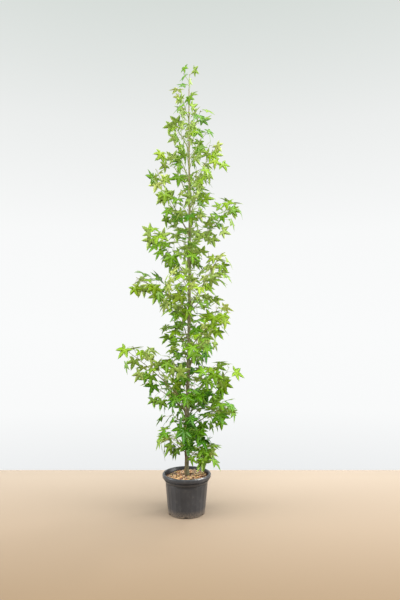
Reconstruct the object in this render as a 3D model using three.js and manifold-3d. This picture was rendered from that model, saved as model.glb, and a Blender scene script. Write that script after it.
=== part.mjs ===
// A young sweetgum tree in a nursery pot: one straight leader, feathered with side boughs from just above
// the rim to the top. Millimetres and degrees, +Z up. The origin is the middle of the pot's flat underside.
// Heading 0 points along +X and heading 90 along +Y.
import * as THREE from "three";
import { mergeVertices } from "three/addons/utils/BufferGeometryUtils.js";
import Module from "manifold-3d";

const wasm = await Module();
wasm.setup();

// ---------------------------------------------------------------------------- driving dimensions

const CLEAR = 0.3; // between pieces that touch on the real plant

const POT = {
  height: 262,
  footRadius: 124,
  bodyRadius: 143, // under the shoulder
  shoulderRadius: 152, // under the lip, and shoulderTaper less at the shoulder's lower edge
  shoulderTaper: 5,
  shoulderHeight: 30, // from the lip's lower edge down to the body
  lipRadius: 165,
  lipHeight: 28,
  lipWidth: 16, // of the rounded top, from outside to inside
  wall: 3,
  floor: 4,
  sides: 32,
};
const DRAIN = { count: 6, width: 26, height: 11, depth: 24, firstHeading: 270 };
const SOIL = { belowRim: 16, rise: 9, flatShare: 0.45 }; // it lies higher round the trunk than at the wall

const TRUNK = {
  top: 2960, // where the leafy tip of the leader begins
  radiusLow: 14,
  radiusTop: 3.4,
  stoutness: 1.15, // 1 is a plain cone, more keeps the stem stout for longer
  flare: 6, // extra radius at the cut, which fades out over flareHeight
  flareHeight: 70,
  lean: 12, // how far the top stands to +X of the foot
  bow: 12, // how far the middle bows towards +X
  sides: 10,
  steps: 18,
  bunching: 1.8, // 1 spaces the steps evenly, more draws them together towards the foot
};

// The boughs that shape the crown: height of the foot on the trunk, heading, reach and rise of the tip,
// and arch, the share of the rise that the limb's bend is lifted to: more than 0.5 climbs first.
const BOUGHS = [
  [545, 350, 275, 160, 0.7],
  [600, 105, 225, 230, 0.6],
  [640, 20, 265, 250, 0.6],
  [655, 166, 290, 200, 0.65],
  [717, 187, 405, 365, 0.55],
  [730, 322, 235, 240, 0.55],
  [815, 236, 215, 240, 0.6],
  [905, 292, 215, 240, 0.55],
  [960, 72, 240, 260, 0.6],
  [1095, 352, 225, 235, 0.6],
  [1150, 108, 215, 250, 0.55],
  [1290, 262, 200, 260, 0.55],
  [1375, 352, 200, 350, 0.45],
  [1395, 180, 365, 200, 0.5],
  [1570, 190, 265, 310, 0.6],
  [1650, 100, 200, 280, 0.55],
  [1795, 3, 290, 275, 0.5],
  [1900, 177, 240, 470, 0.4],
];
// The lowest limbs are leafy from the trunk on, and the first of them hangs over the rim.
const LOW_SPRAYS = [
  [392, 338, 165, -35, -0.8],
  [430, 200, 125, 75, 0.6],
  [480, 262, 150, 165, 0.6],
];
// Leafy shoots climb the trunk in a spiral. The low ones fill the crown between the boughs, and the high
// ones shape its top. Each pair of sizes is of the lowest and the highest shoot.
const SHOOTS = [
  {
    name: "inner_shoot",
    count: 6,
    firstHeading: 85,
    foot: [370, 1920],
    reach: [120, 120],
    rise: [150, 190],
    arch: 0.6,
  },
  {
    name: "top_shoot",
    count: 11,
    firstHeading: 300,
    foot: [1990, 2740],
    reach: [200, 80],
    rise: [350, 125],
    arch: 0.42,
  },
];
const SPIRAL = 137.5; // degrees from each shoot to the next one up
const CROWN_TIP = [4, 100, 0.5]; // reach, rise and arch of the leader's leafy end

const LIMB = {
  bendAt: 0.45, // the share of its reach where a limb bends
  sway: 0.06, // sideways bend, as a share of the limb's length
  footRadius: 2.8,
  radiusPerLength: 0.005, // a longer limb is stouter at its foot
  mostOfTrunk: 0.75, // of the trunk's radius there
  tipRadius: 2.3,
  stoutness: 0.8, // 1 is a plain cone, less thins the limb sooner
  bareShare: 0.26, // of a bough, from the trunk to its mass of leaves
  boughSides: 5,
  boughSteps: 2,
  stemSides: 4,
  stemSteps: 3,
  leafyLines: 6, // straight lines that stand for its leafy part and its bare part in measuring distances
  bareLines: 3,
};

const TWIG = {
  every: 160, // of the stem's length for each side twig
  lengthShare: 0.42, // of the limb's length, within the limits below
  shortest: 60,
  longest: 140,
  outward: 0.95, // its lean away from the stem, and the least and the most that it climbs
  climb: [-0.1, 0.8],
  radius: 1.8,
  bareShare: 0.3,
  leafLimit: 4,
};

const LEAF = {
  spacing: 34, // along a stem, from one leaf to the next
  start: 14, // from the foot of a stem to its first leaf
  last: 0.99, // the share of the stem where its last leaf grows
  turn: 137.5, // round the stem, from one leaf to the next
  nextTry: 47, // further round, where a leaf doesn't fit
  length: 118, // of the middle lobe, from the palm of the leaf
  lengthTop: 78, // on the highest growth
  lengthSpread: 0.25,
  petiole: 58,
  petioleSpread: 40,
  petioleWidth: 2.6, // at the palm
  rootWidth: 1.2, // inside the twig
  outward: 0.9, // the petiole's lean away from the stem, along it and upwards
  forward: 0.45,
  upward: 0.35,
  bend: 58, // from the petiole down to the blade
  bendSpread: 45,
  roll: 30, // to either side
  cup: 0.18, // how far the lobe tips hang, as a share of the leaf's length
  palmsApart: 62,
  apart: 16,
  tries: 30, // places tried for each leaf before it is left out
};
// The blade's margin from the petiole round to the middle lobe: angle from the middle lobe, and distance
// from the palm as a share of the leaf's length. Each leaf has five lobes with four notches between them.
const HALF_BLADE = [
  [120, 0.62],
  [88, 0.38],
  [57, 0.87],
  [27, 0.46],
];

// How far leaves and twigs keep from what isn't theirs. A leaf may pass the middle between two limbs by
// half of the overlap.
const SPACE = { overlap: 40, trunk: 5, limb: 9, pot: 7, ground: 8 };

const COLOURS = {
  pot: { color: "#3d3c3a", roughness: 0.6, metalness: 0 },
  soil: { color: "#8a7358", roughness: 0.95, metalness: 0 },
  bark: { color: "#6f6650", roughness: 0.85, metalness: 0 },
  foliage: { color: "#5d8f2b", roughness: 0.6, metalness: 0 },
};

// ---------------------------------------------------------------------------- numbers and solids

const radians = THREE.MathUtils.degToRad;
const mix = THREE.MathUtils.lerp;
const vec = (x, y, z) => new THREE.Vector3(x, y, z);
const UP = vec(0, 0, 1);
const twoDigits = (i) => String(i + 1).padStart(2, "0");

// Even, repeatable numbers from 0 to 1, a separate run for each seed.
function seeded(seed) {
  const range = 2 ** 32;
  let state = (seed * 7919 + 17) % range;
  const next = () => {
    state = (1664525 * state + 1013904223) % range;
    return state / range;
  };
  next();
  next();
  return next;
}

// A closed three.js geometry as a manifold-3d solid.
function solidOf(geometry) {
  const bare = geometry.clone();
  bare.deleteAttribute("normal");
  bare.deleteAttribute("uv");
  const merged = mergeVertices(bare, 1e-4);
  const vertProperties = merged.attributes.position.array;
  const triVerts = new Uint32Array(merged.index.array);
  return new wasm.Manifold(new wasm.Mesh({ numProp: 3, vertProperties, triVerts }));
}

function geometryOf(solid) {
  const mesh = solid.getMesh();
  return new THREE.BufferGeometry()
    .setAttribute("position", new THREE.BufferAttribute(mesh.vertProperties, 3))
    .setIndex(new THREE.BufferAttribute(mesh.triVerts, 1));
}

function solidFrom(points, triangles) {
  const positions = new THREE.Float32BufferAttribute(points.flatMap((p) => p.toArray()), 3);
  return solidOf(new THREE.BufferGeometry().setAttribute("position", positions).setIndex(triangles.flat()));
}

// The largest body of a solid, with any sealed hollow in it filled.
function largestBody(solid) {
  return solid.decompose().reduce((a, b) => (b.volume() > a.volume() ? b : a));
}

// Two directions square to a line: level to its side, and upwards. A line that stands up straight has none
// that is level, so its side is +X.
function across(along) {
  const side = along.clone().cross(UP);
  if (side.length() < 0.05) side.set(1, 0, 0);
  side.normalize();
  return [side, side.clone().cross(along).normalize()];
}

// A closed tube along a curve from parameter t0 to t1, whose radius is a function of the parameter.
function tube(curve, t0, t1, radiusAt, sides, steps) {
  const points = [];
  for (let i = 0; i <= steps; i++) {
    const t = mix(t0, t1, i / steps);
    const [side, upwards] = across(curve.getTangent(t));
    for (let k = 0; k < sides; k++) {
      const around = (2 * Math.PI * k) / sides;
      const point = curve.getPoint(t).addScaledVector(side, radiusAt(t) * Math.cos(around));
      points.push(point.addScaledVector(upwards, radiusAt(t) * Math.sin(around)));
    }
  }
  const last = steps * sides;
  const triangles = [];
  for (let k = 0; k < sides; k++) {
    const next = (k + 1) % sides;
    for (let i = 0; i < last; i += sides) {
      triangles.push([i + k, i + next + sides, i + next], [i + k, i + k + sides, i + next + sides]);
    }
    if (k > 0 && k < sides - 1) triangles.push([0, k, next], [last, last + next, last + k]);
  }
  return solidFrom(points, triangles);
}

// ---------------------------------------------------------------------------- pot and soil

const lipFoot = POT.height - POT.lipHeight;
const bodyHeight = lipFoot - POT.shoulderHeight;
const openingRadius = POT.lipRadius - POT.lipWidth;
const soilTop = POT.height - SOIL.belowRim;

function lathe(profile) {
  const outline = profile.map(([r, z]) => new THREE.Vector2(r, z));
  return solidOf(new THREE.LatheGeometry(outline, POT.sides).rotateX(Math.PI / 2));
}

// The pot's inner radius at a height, up to its rim.
function innerRadius(z) {
  if (z < bodyHeight) return mix(POT.footRadius, POT.bodyRadius, z / bodyHeight) - POT.wall;
  return mix(POT.bodyRadius - POT.wall, openingRadius, (z - bodyHeight) / (POT.height - bodyHeight));
}

// A tapered pot with a shoulder under a broad, rounded lip, and drainage notches round its foot.
function potSolid() {
  const edge = 3;
  const shell = lathe([
    [0, 0],
    [POT.footRadius, 0],
    [POT.bodyRadius, bodyHeight],
    [POT.shoulderRadius - POT.shoulderTaper, bodyHeight + edge],
    [POT.shoulderRadius, lipFoot],
    [POT.lipRadius - edge, lipFoot],
    [POT.lipRadius, POT.height - 2 * edge],
    [POT.lipRadius - edge, POT.height],
    [openingRadius, POT.height],
    [innerRadius(bodyHeight), bodyHeight],
    [innerRadius(POT.floor), POT.floor],
    [0, POT.floor],
  ]);
  const notches = Array.from({ length: DRAIN.count }, (_, i) => {
    const heading = radians(DRAIN.firstHeading + (360 * i) / DRAIN.count);
    const notch = new THREE.BoxGeometry(DRAIN.depth, DRAIN.width, 2 * DRAIN.height);
    return solidOf(notch.translate(POT.footRadius, 0, 0).rotateZ(heading));
  });
  return largestBody(notches.reduce((pot, notch) => pot.subtract(notch), shell));
}

function soilSolid() {
  const foot = POT.floor + CLEAR;
  const edge = soilTop - SOIL.rise;
  return lathe([
    [0, foot],
    [innerRadius(foot) - CLEAR, foot],
    [innerRadius(bodyHeight) - CLEAR, bodyHeight],
    [innerRadius(edge) - CLEAR, edge],
    [SOIL.flatShare * innerRadius(edge), soilTop],
    [0, soilTop],
  ]);
}

// ---------------------------------------------------------------------------- trunk

const trunkFoot = soilTop + CLEAR;
const trunkShare = (z) => THREE.MathUtils.clamp((z - trunkFoot) / (TRUNK.top - trunkFoot), 0, 1);

// The middle of the trunk at a height: a slight lean, with a bow in it.
function trunkPoint(z) {
  const up = trunkShare(z);
  return vec(TRUNK.lean * up + TRUNK.bow * Math.sin(Math.PI * up) ** 2, 0, z);
}

function trunkRadius(z) {
  const flare = TRUNK.flare * Math.exp((-3 * (z - trunkFoot)) / TRUNK.flareHeight);
  return mix(TRUNK.radiusLow, TRUNK.radiusTop, trunkShare(z) ** TRUNK.stoutness) + flare;
}

// How far a point is from the trunk's surface. Above its top there is no trunk.
function fromTrunk(point) {
  const middle = trunkPoint(Math.min(point.z, TRUNK.top));
  return point.distanceTo(middle) - trunkRadius(middle.z);
}

// The trunk's line, with its steps close together in the root flare. Its tangent is straight up, which
// keeps the cut at its foot level.
class TrunkCurve extends THREE.Curve {
  getPoint(t) {
    return trunkPoint(mix(trunkFoot, TRUNK.top, t ** TRUNK.bunching));
  }
  getTangent() {
    return UP.clone();
  }
}

// The trunk, or a copy that is wider by a clearance all round.
function trunkSolid(clearance = 0) {
  const wider = clearance / Math.cos(Math.PI / TRUNK.sides);
  const curve = new TrunkCurve();
  return tube(curve, 0, 1, (t) => trunkRadius(curve.getPoint(t).z) + wider, TRUNK.sides, TRUNK.steps);
}

// ---------------------------------------------------------------------------- limbs

// A limb's line bends once. It starts in the middle of the trunk, and the stem of its mass of leaves
// carries on from its bare part.
function limb(name, seed, [foot, heading, reach, rise, arch], bareShare = 0) {
  const random = seeded(seed);
  const length = Math.hypot(reach, rise);
  const sway = length * LIMB.sway * (random() < 0.5 ? -1 : 1) * (0.5 + random());
  const place = new THREE.Matrix4().makeRotationZ(radians(heading)).setPosition(trunkPoint(foot));
  const curve = new THREE.QuadraticBezierCurve3(
    vec(0, 0, 0).applyMatrix4(place),
    vec(reach * LIMB.bendAt, sway, rise * arch).applyMatrix4(place),
    vec(reach, 0, rise).applyMatrix4(place),
  );
  const mostRadius = LIMB.mostOfTrunk * trunkRadius(foot);
  const footRadius = Math.min(LIMB.footRadius + LIMB.radiusPerLength * length, mostRadius);
  const radiusAt = (t) => mix(footRadius, LIMB.tipRadius, t ** LIMB.stoutness);
  let leafStart = bareShare;
  while (fromTrunk(curve.getPoint(leafStart)) < SPACE.trunk) leafStart += 0.01;
  const leafyLines = segments(curve, leafStart, 1, LIMB.leafyLines);
  const bareLines = segments(curve, 0, leafStart, LIMB.bareLines);
  const shape = { name, length, place, curve, bareShare, leafStart, radiusAt };
  return { ...shape, random, leafyLines, bareLines, twigs: [], twigLines: [] };
}

function segments(curve, t0, t1, count) {
  const at = (i) => curve.getPoint(mix(t0, t1, i / count));
  return Array.from({ length: count }, (_, i) => new THREE.Line3(at(i), at(i + 1)));
}

function allLimbs() {
  const limbs = [];
  const add = (name, sizes, bareShare) => limbs.push(limb(name, limbs.length + 1, sizes, bareShare));
  BOUGHS.forEach((sizes, i) => add(`leaves_${twoDigits(i)}`, sizes, LIMB.bareShare));
  LOW_SPRAYS.forEach((sizes, i) => add(`low_spray_${i + 1}`, sizes));
  for (const { name, count, foot, firstHeading, reach, rise, arch } of SHOOTS) {
    for (let i = 0; i < count; i++) {
      const [z, out, up] = [foot, reach, rise].map(([low, high]) => mix(low, high, i / (count - 1)));
      add(`${name}_${twoDigits(i)}`, [z, (firstHeading + SPIRAL * i) % 360, out, up, arch]);
    }
  }
  add("crown_tip", [TRUNK.top + CLEAR, 0, ...CROWN_TIP]);
  return limbs;
}

function boughSolid({ curve, bareShare, radiusAt }) {
  return tube(curve, 0, bareShare, radiusAt, LIMB.boughSides, LIMB.boughSteps).subtract(trunkSolid(CLEAR));
}

// ---------------------------------------------------------------------------- leaves

// One leaf on a line that runs along a direction: where its petiole starts and ends, and how its blade
// lies, with the directions of its middle lobe (axis), its upper surface (face) and its left side.
function leafOn(root, along, round, size, random) {
  const [side, upwards] = across(along);
  const petiole = side
    .multiplyScalar(LEAF.outward * Math.cos(round))
    .addScaledVector(upwards, LEAF.outward * Math.sin(round))
    .addScaledVector(along, LEAF.forward * (0.6 + 0.8 * random()))
    .addScaledVector(UP, LEAF.upward * (0.3 + 1.4 * random()))
    .normalize();
  const palm = root.clone().addScaledVector(petiole, LEAF.petiole + LEAF.petioleSpread * (random() - 0.5));
  const lift = UP.clone().addScaledVector(petiole, -petiole.z).normalize();
  const bend = radians(LEAF.bend + LEAF.bendSpread * random());
  const axis = petiole.clone().multiplyScalar(Math.cos(bend)).addScaledVector(lift, -Math.sin(bend));
  const face = petiole.clone().multiplyScalar(Math.sin(bend)).addScaledVector(lift, Math.cos(bend));
  face.applyAxisAngle(axis, radians(LEAF.roll * (2 * random() - 1)));
  const length = size * (1 - LEAF.lengthSpread * random());
  return { root, petiole, palm, axis, face, left: face.clone().cross(axis), length };
}

// The points of a blade's margin, from one side of the petiole to the other. The lobes' tips hang.
function margin(leaf) {
  const otherHalf = HALF_BLADE.map(([angle, share]) => [-angle, share]).reverse();
  return [...HALF_BLADE, [0, 1], ...otherHalf].map(([angle, share]) =>
    leaf.palm
      .clone()
      .addScaledVector(leaf.axis, leaf.length * share * Math.cos(radians(angle)))
      .addScaledVector(leaf.left, leaf.length * share * Math.sin(radians(angle)))
      .addScaledVector(leaf.face, -leaf.length * LEAF.cup * share ** 2),
  );
}

// A thin blade that grows in one piece out of a three-sided petiole. They share a ring of three points round
// the palm, which leans half-way between them, and the blade thins out from there to its margin.
function leafSolid(leaf) {
  const left = leaf.left.clone().addScaledVector(leaf.petiole, -leaf.left.dot(leaf.petiole)).normalize();
  const above = leaf.petiole.clone().cross(left);
  const leaning = above.clone().add(leaf.face).normalize();
  const ring = (centre, width, side, upwards) => [
    centre.clone().addScaledVector(side, width / 2).addScaledVector(upwards, -0.4 * width),
    centre.clone().addScaledVector(upwards, 0.6 * width),
    centre.clone().addScaledVector(side, -width / 2).addScaledVector(upwards, -0.4 * width),
  ];
  const foot = ring(leaf.root, LEAF.rootWidth, left, above);
  const hub = ring(leaf.palm, LEAF.petioleWidth, leaf.left, leaning);
  const points = [...foot, ...hub, ...margin(leaf)];
  const [ROOT, LEFT, TOP, RIGHT, RIM, TIP] = [0, 3, 4, 5, 6, 10];
  const end = points.length - 1;
  const triangles = [[ROOT, ROOT + 2, ROOT + 1], [LEFT, TIP, RIGHT], [TOP, RIM, LEFT], [TOP, RIGHT, end]];
  for (let i = RIM; i < end; i++) {
    triangles.push([TOP, i + 1, i], [i < TIP ? LEFT : RIGHT, i, i + 1]);
  }
  for (let k = 0; k < 3; k++) {
    const next = (k + 1) % 3;
    triangles.push([ROOT + k, ROOT + next, LEFT + next], [ROOT + k, LEFT + next, LEFT + k]);
  }
  return solidFrom(points, triangles);
}

// Points all over a leaf, by which it is kept in its own space.
function leafPoints(leaf) {
  const rim = margin(leaf);
  const halfWay = (a, b) => a.clone().lerp(b, 0.5);
  const inner = rim.map((p) => halfWay(p, leaf.palm));
  const edges = rim.slice(1).map((p, i) => halfWay(p, rim[i]));
  return [leaf.palm, halfWay(leaf.root, leaf.palm), ...rim, ...inner, ...edges];
}

// ---------------------------------------------------------------------------- masses of leaves

const nearest = vec(0, 0, 0);
const distanceTo = (point, lines) =>
  Math.min(...lines.map((line) => line.closestPointToPoint(point, true, nearest).distanceTo(point)));

function clearOfPotAndTrunk(point) {
  const fromPotAxis = Math.hypot(point.x, point.y);
  if (point.z < POT.height + SPACE.pot && fromPotAxis < POT.lipRadius + SPACE.pot) return false;
  if (point.z < SPACE.ground) return false;
  return fromTrunk(point) > SPACE.trunk;
}

// A limb's own space is everything that is nearer its leafy line than any other limb's, with a little
// overlap. Its leaves stay in it, clear of the trunk, the pot and every bough, stem and twig.
function inOwnSpace(points, own, limbs) {
  return points.every((point) => {
    if (!clearOfPotAndTrunk(point)) return false;
    const limit = distanceTo(point, own.leafyLines) - SPACE.overlap;
    return limbs.every((other) => {
      const apart = distanceTo(point, other.leafyLines);
      if (other !== own && apart < limit) return false;
      if (apart < SPACE.limb || distanceTo(point, other.bareLines) < SPACE.limb) return false;
      return distanceTo(point, other.twigLines) > SPACE.limb;
    });
  });
}

function clearOfLeaves(leaf, leaves) {
  return leaves.every((other) => {
    const between = other.palm.distanceTo(leaf.palm);
    if (between < LEAF.palmsApart) return false;
    if (between > leaf.length + other.length + LEAF.apart) return true;
    return leaf.points.every((a) => other.points.every((b) => a.distanceTo(b) > LEAF.apart));
  });
}

// Leaves in a spiral along a line. A leaf that doesn't fit is turned a few times, then left out.
function leavesAlong(curve, t0, limit, own, limbs, leaves) {
  const length = curve.getLength() * (1 - t0);
  const count = Math.min(limit, Math.max(1, Math.round((length - LEAF.start) / LEAF.spacing) + 1));
  const grown = [];
  const firstTurn = 360 * own.random();
  for (let i = 0; i < count; i++) {
    const first = t0 + ((1 - t0) * LEAF.start) / length;
    const t = count > 1 ? mix(first, LEAF.last, i / (count - 1)) : LEAF.last;
    const root = curve.getPoint(t);
    const size = mix(LEAF.length, LEAF.lengthTop, (root.z / TRUNK.top) ** 3);
    for (let attempt = 0; attempt < LEAF.tries; attempt++) {
      const round = radians(firstTurn + LEAF.turn * i + LEAF.nextTry * attempt);
      const leaf = leafOn(root, curve.getTangent(t), round, size, own.random);
      leaf.points = leafPoints(leaf);
      if (clearOfLeaves(leaf, leaves) && inOwnSpace(leaf.points, own, limbs)) {
        leaves.push(leaf);
        grown.push(leaf);
        break;
      }
    }
  }
  return grown;
}

// A straight side twig leaves the stem at a parameter, alternately to its two sides.
function sideTwig(own, t, isLeft) {
  const root = own.curve.getPoint(t);
  const along = own.curve.getTangent(t);
  const [side, upwards] = across(along);
  const length = THREE.MathUtils.clamp(TWIG.lengthShare * own.length, TWIG.shortest, TWIG.longest);
  const direction = along
    .clone()
    .addScaledVector(side, TWIG.outward * (isLeft ? -1 : 1))
    .addScaledVector(upwards, mix(...TWIG.climb, own.random()))
    .normalize();
  return new THREE.LineCurve3(root, root.clone().addScaledVector(direction, length));
}

// The side twigs of one limb, spread evenly along it, as far as they fit.
function growTwigs(own, limbs) {
  const count = Math.round((own.length * (1 - own.bareShare)) / TWIG.every);
  for (let i = 0; i < count; i++) {
    const twig = sideTwig(own, mix(own.leafStart, 1, (i + 0.6) / (count + 0.3)), i % 2 === 0);
    if (!inOwnSpace([0.3, 0.5, 0.75, 1].map((t) => twig.getPoint(t)), own, limbs)) continue;
    own.twigs.push(twig);
    own.twigLines.push(...segments(twig, 0, 1, 1));
  }
}

// The mass of leaves of one limb: its stem, its side twigs, and the leaves of both.
function massSolid(own, limbs, leaves) {
  const { curve, bareShare, radiusAt, twigs } = own;
  const speed = curve.getPoint(bareShare + 0.001).distanceTo(curve.getPoint(bareShare)) / 0.001;
  const start = bareShare > 0 ? bareShare + CLEAR / speed : 0;
  let stem = tube(curve, start, 1, radiusAt, LIMB.stemSides, LIMB.stemSteps);
  if (bareShare === 0 && own.name !== "crown_tip") stem = stem.subtract(trunkSolid(CLEAR));
  const grown = leavesAlong(curve, own.leafStart, Infinity, own, limbs, leaves);
  for (const twig of twigs) {
    grown.push(...leavesAlong(twig, TWIG.bareShare, TWIG.leafLimit, own, limbs, leaves));
  }
  const pieces = [...twigs.map((twig) => tube(twig, 0, 1, () => TWIG.radius, 3, 1)), ...grown.map(leafSolid)];
  return largestBody(pieces.reduce((mass, piece) => mass.add(piece), stem));
}

// ---------------------------------------------------------------------------- the whole plant

const materials = Object.fromEntries(
  Object.entries(COLOURS).map(([name, look]) => [name, new THREE.MeshStandardMaterial({ name, ...look })]),
);

function named(name, solid, material) {
  const mesh = new THREE.Mesh(geometryOf(solid), material);
  mesh.name = name;
  return mesh;
}

// A limb's group stands at its foot on the trunk and is turned to its heading.
function limbGroup(own, limbs, leaves) {
  const group = new THREE.Group();
  group.applyMatrix4(own.place);
  const back = own.place.clone().invert();
  const boughName = own.name.replace("leaves", "bough");
  if (own.bareShare > 0) group.add(named(boughName, boughSolid(own), materials.bark));
  group.add(named(own.name, massSolid(own, limbs, leaves), materials.foliage));
  group.children.forEach((mesh) => mesh.geometry.applyMatrix4(back));
  return group;
}

const tree = new THREE.Group();
tree.add(named("pot", potSolid(), materials.pot));
tree.add(named("soil", soilSolid(), materials.soil));
tree.add(named("trunk", trunkSolid(), materials.bark));
const limbs = allLimbs();
limbs.forEach((own) => growTwigs(own, limbs));
const leaves = [];
limbs.forEach((own) => tree.add(limbGroup(own, limbs, leaves)));

export default tree;
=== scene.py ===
"""The looks of a young sweetgum tree in a nursery pot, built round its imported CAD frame.

Growth is worked out in millimetres, in the frame of the part: the origin is the middle of the pot's
underside, +Z is up and heading 0 points along +X. Meshes are written in metres.
"""

import math
from types import SimpleNamespace as Record

import bpy
import numpy as np
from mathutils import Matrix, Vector, noise


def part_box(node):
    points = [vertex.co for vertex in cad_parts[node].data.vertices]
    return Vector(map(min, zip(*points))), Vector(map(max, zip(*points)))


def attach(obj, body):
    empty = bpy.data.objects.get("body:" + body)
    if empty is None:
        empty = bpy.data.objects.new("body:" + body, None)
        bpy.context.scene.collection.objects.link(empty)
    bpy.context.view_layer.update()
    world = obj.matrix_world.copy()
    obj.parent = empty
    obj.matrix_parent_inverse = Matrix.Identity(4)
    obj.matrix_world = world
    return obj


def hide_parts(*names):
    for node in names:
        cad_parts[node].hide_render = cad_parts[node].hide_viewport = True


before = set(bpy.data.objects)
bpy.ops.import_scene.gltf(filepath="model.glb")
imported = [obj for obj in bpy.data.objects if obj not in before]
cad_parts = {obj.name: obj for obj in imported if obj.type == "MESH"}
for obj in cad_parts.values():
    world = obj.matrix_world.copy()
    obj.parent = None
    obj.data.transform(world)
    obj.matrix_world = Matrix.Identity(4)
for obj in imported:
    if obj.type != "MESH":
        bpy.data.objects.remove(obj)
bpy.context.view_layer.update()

MM = 0.001
UP = np.array([0.0, 0.0, 1.0])

# ---- the source's driving dimensions

CLEAR = 0.3
POT = Record(
    height=262, foot_radius=124, body_radius=143, shoulder_radius=152, shoulder_taper=5, shoulder_height=30,
    lip_radius=165, lip_height=28, lip_width=16, wall=3, floor=4,
)
DRAIN = Record(count=6, width=26, height=11, depth=24, first_heading=270)
SOIL = Record(below_rim=16, rise=9, flat_share=0.45)
SOIL_TOP = POT.height - SOIL.below_rim
TRUNK_FOOT = SOIL_TOP + CLEAR
TRUNK = Record(
    top=2960, radius_low=14, radius_top=3.4, stoutness=1.15, flare=6, flare_height=70, lean=12, bow=12,
)

# Foot on the trunk, heading, reach, rise and arch of each bough, from the lowest to the highest.
BOUGHS = [
    (545, 350, 275, 160, 0.7),
    (600, 105, 225, 230, 0.6),
    (640, 20, 265, 250, 0.6),
    (655, 166, 290, 200, 0.65),
    (717, 187, 405, 365, 0.55),
    (730, 322, 235, 240, 0.55),
    (815, 236, 215, 240, 0.6),
    (905, 292, 215, 240, 0.55),
    (960, 72, 240, 260, 0.6),
    (1095, 352, 225, 235, 0.6),
    (1150, 108, 215, 250, 0.55),
    (1290, 262, 200, 260, 0.55),
    (1375, 352, 200, 350, 0.45),
    (1395, 180, 365, 200, 0.5),
    (1570, 190, 265, 310, 0.6),
    (1650, 100, 200, 280, 0.55),
    (1795, 3, 290, 275, 0.5),
    (1900, 177, 240, 470, 0.4),
]
LOW_SPRAYS = [(392, 338, 165, -35, -0.8), (430, 200, 125, 75, 0.6), (480, 262, 150, 165, 0.6)]
# Name, count, first heading, then foot, reach and rise of the lowest and the highest, and arch.
SHOOTS = [
    ("inner_shoot", 6, 85, (370, 1920), (120, 120), (150, 190), 0.6),
    ("top_shoot", 11, 300, (1990, 2740), (200, 80), (350, 125), 0.42),
]
SPIRAL = 137.5
CROWN_TIP = (4, 100, 0.5)

LIMB = Record(
    bend_at=0.45, sway=0.06, foot_radius=2.8, radius_per_length=0.005, most_of_trunk=0.75, tip_radius=2.3,
    stoutness=0.8, bare_share=0.26, clear_step=0.01, leafy_lines=6, bare_lines=3,
)
TWIG = Record(
    every=160, first=0.6, spare=0.3, length_share=0.42, shortest=60, longest=140, outward=0.95,
    climb=(-0.1, 0.8), radius=1.8, bare_share=0.3, leaf_limit=4, tested=(0.3, 0.5, 0.75, 1),
)
# Forwards, upwards and bends are the least and the spread of a number that is drawn.
LEAF = Record(
    spacing=34, start=14, last=0.99, turn=137.5, next_try=47, length=118, length_top=78, length_spread=0.25,
    petiole=58, petiole_spread=40, outward=0.9, forward=0.45, forwards=(0.6, 0.8), upward=0.35,
    upwards=(0.3, 1.4), bends=(58, 45), roll=30, cup=0.18, tries=30, palms_apart=62, apart=16,
)
HALF_BLADE = [(120, 0.62), (88, 0.38), (57, 0.87), (27, 0.46)]
SPACE = Record(overlap=40, trunk=5, limb=9, pot=7, ground=8)
NEARLY_UPRIGHT = 0.05

# ---- the finer growth of this script

# A leaf at its real size, whose length is that of its middle lobe, low down and on the highest growth.
# Where the source has one leaf, there is a spray of these, each on a short spur.
FINE = Record(
    length=98, length_top=86, length_spread=0.32, tries=14, palms_apart=46, apart=9, spur=9, limb=5, box=18,
    shift=0.12, extra_below=2870, shoot_share=0.35, shoot=(24, 48), shoot_climb=0.3, shoot_tested=(0.6, 1),
    lift=46, lift_roll=60, stalk=(26, 98), bends=(14, 62), slant=45, cup=0.05,
)
# How many more leaves are tried at a place, by its distance from the trunk.
EXTRAS = [(110, 3), (190, 2), (260, 1), (math.inf, 0)]
# The change to that number between two heights, where the crown is fuller or thinner.
FULLNESS = [
    (0, 420, 3),
    (420, 520, 1),
    (520, 780, 2),
    (780, 860, -1),
    (1330, 1500, 2),
    (1700, 1840, 1),
    (1900, 2000, -1),
    (2080, 2860, -2),
]
# Short leafy shoots straight from the trunk, between the source's limbs, in the order of SHOOTS.
SPURS = [("spur", 42, 40, (330, 2640), (115, 50), (85, 110), 0.55)]
SPUR_LEAVES_AT = (0.35, 0.6, 0.8, 0.98)
SEED = Record(spurs=100, blades=200, leaves=1001, tints=2002, twigs=3003, mulch=4004)
FINE_HALF_BLADE = [(146, 0.2), (110, 0.64), (82, 0.36), (55, 0.88), (27, 0.4)]


def seeded(seed):
    """Even, repeatable numbers from 0 to 1, a separate run for each seed."""
    state = (seed * 7919 + 17) % 2**32

    def draw():
        nonlocal state
        state = (1664525 * state + 1013904223) % 2**32
        return state / 2**32

    draw()
    draw()
    return draw


def spread_from(least, spread, draw):
    """A drawn number from the least up, by as much as the spread."""
    return least + spread * draw()


def mix(a, b, t):
    return a + (b - a) * t


def unit(vector):
    return vector / np.linalg.norm(vector)


def whole(x):
    """The nearest whole number, halves going up."""
    return math.floor(x + 0.5)


# ---- trunk and limbs


def trunk_share(z):
    return np.clip((z - TRUNK_FOOT) / (TRUNK.top - TRUNK_FOOT), 0, 1)


def trunk_point(z):
    z = np.asarray(z, float)
    up = trunk_share(z)
    x = TRUNK.lean * up + TRUNK.bow * np.sin(np.pi * up) ** 2
    return np.stack([x, 0 * z, z], axis=-1)


def trunk_radius(z):
    flare = TRUNK.flare * np.exp(-3 * (z - TRUNK_FOOT) / TRUNK.flare_height)
    return mix(TRUNK.radius_low, TRUNK.radius_top, trunk_share(z) ** TRUNK.stoutness) + flare


def from_trunk(points):
    middle = trunk_point(np.minimum(points[..., 2], TRUNK.top))
    return np.linalg.norm(points - middle, axis=-1) - trunk_radius(middle[..., 2])


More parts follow.
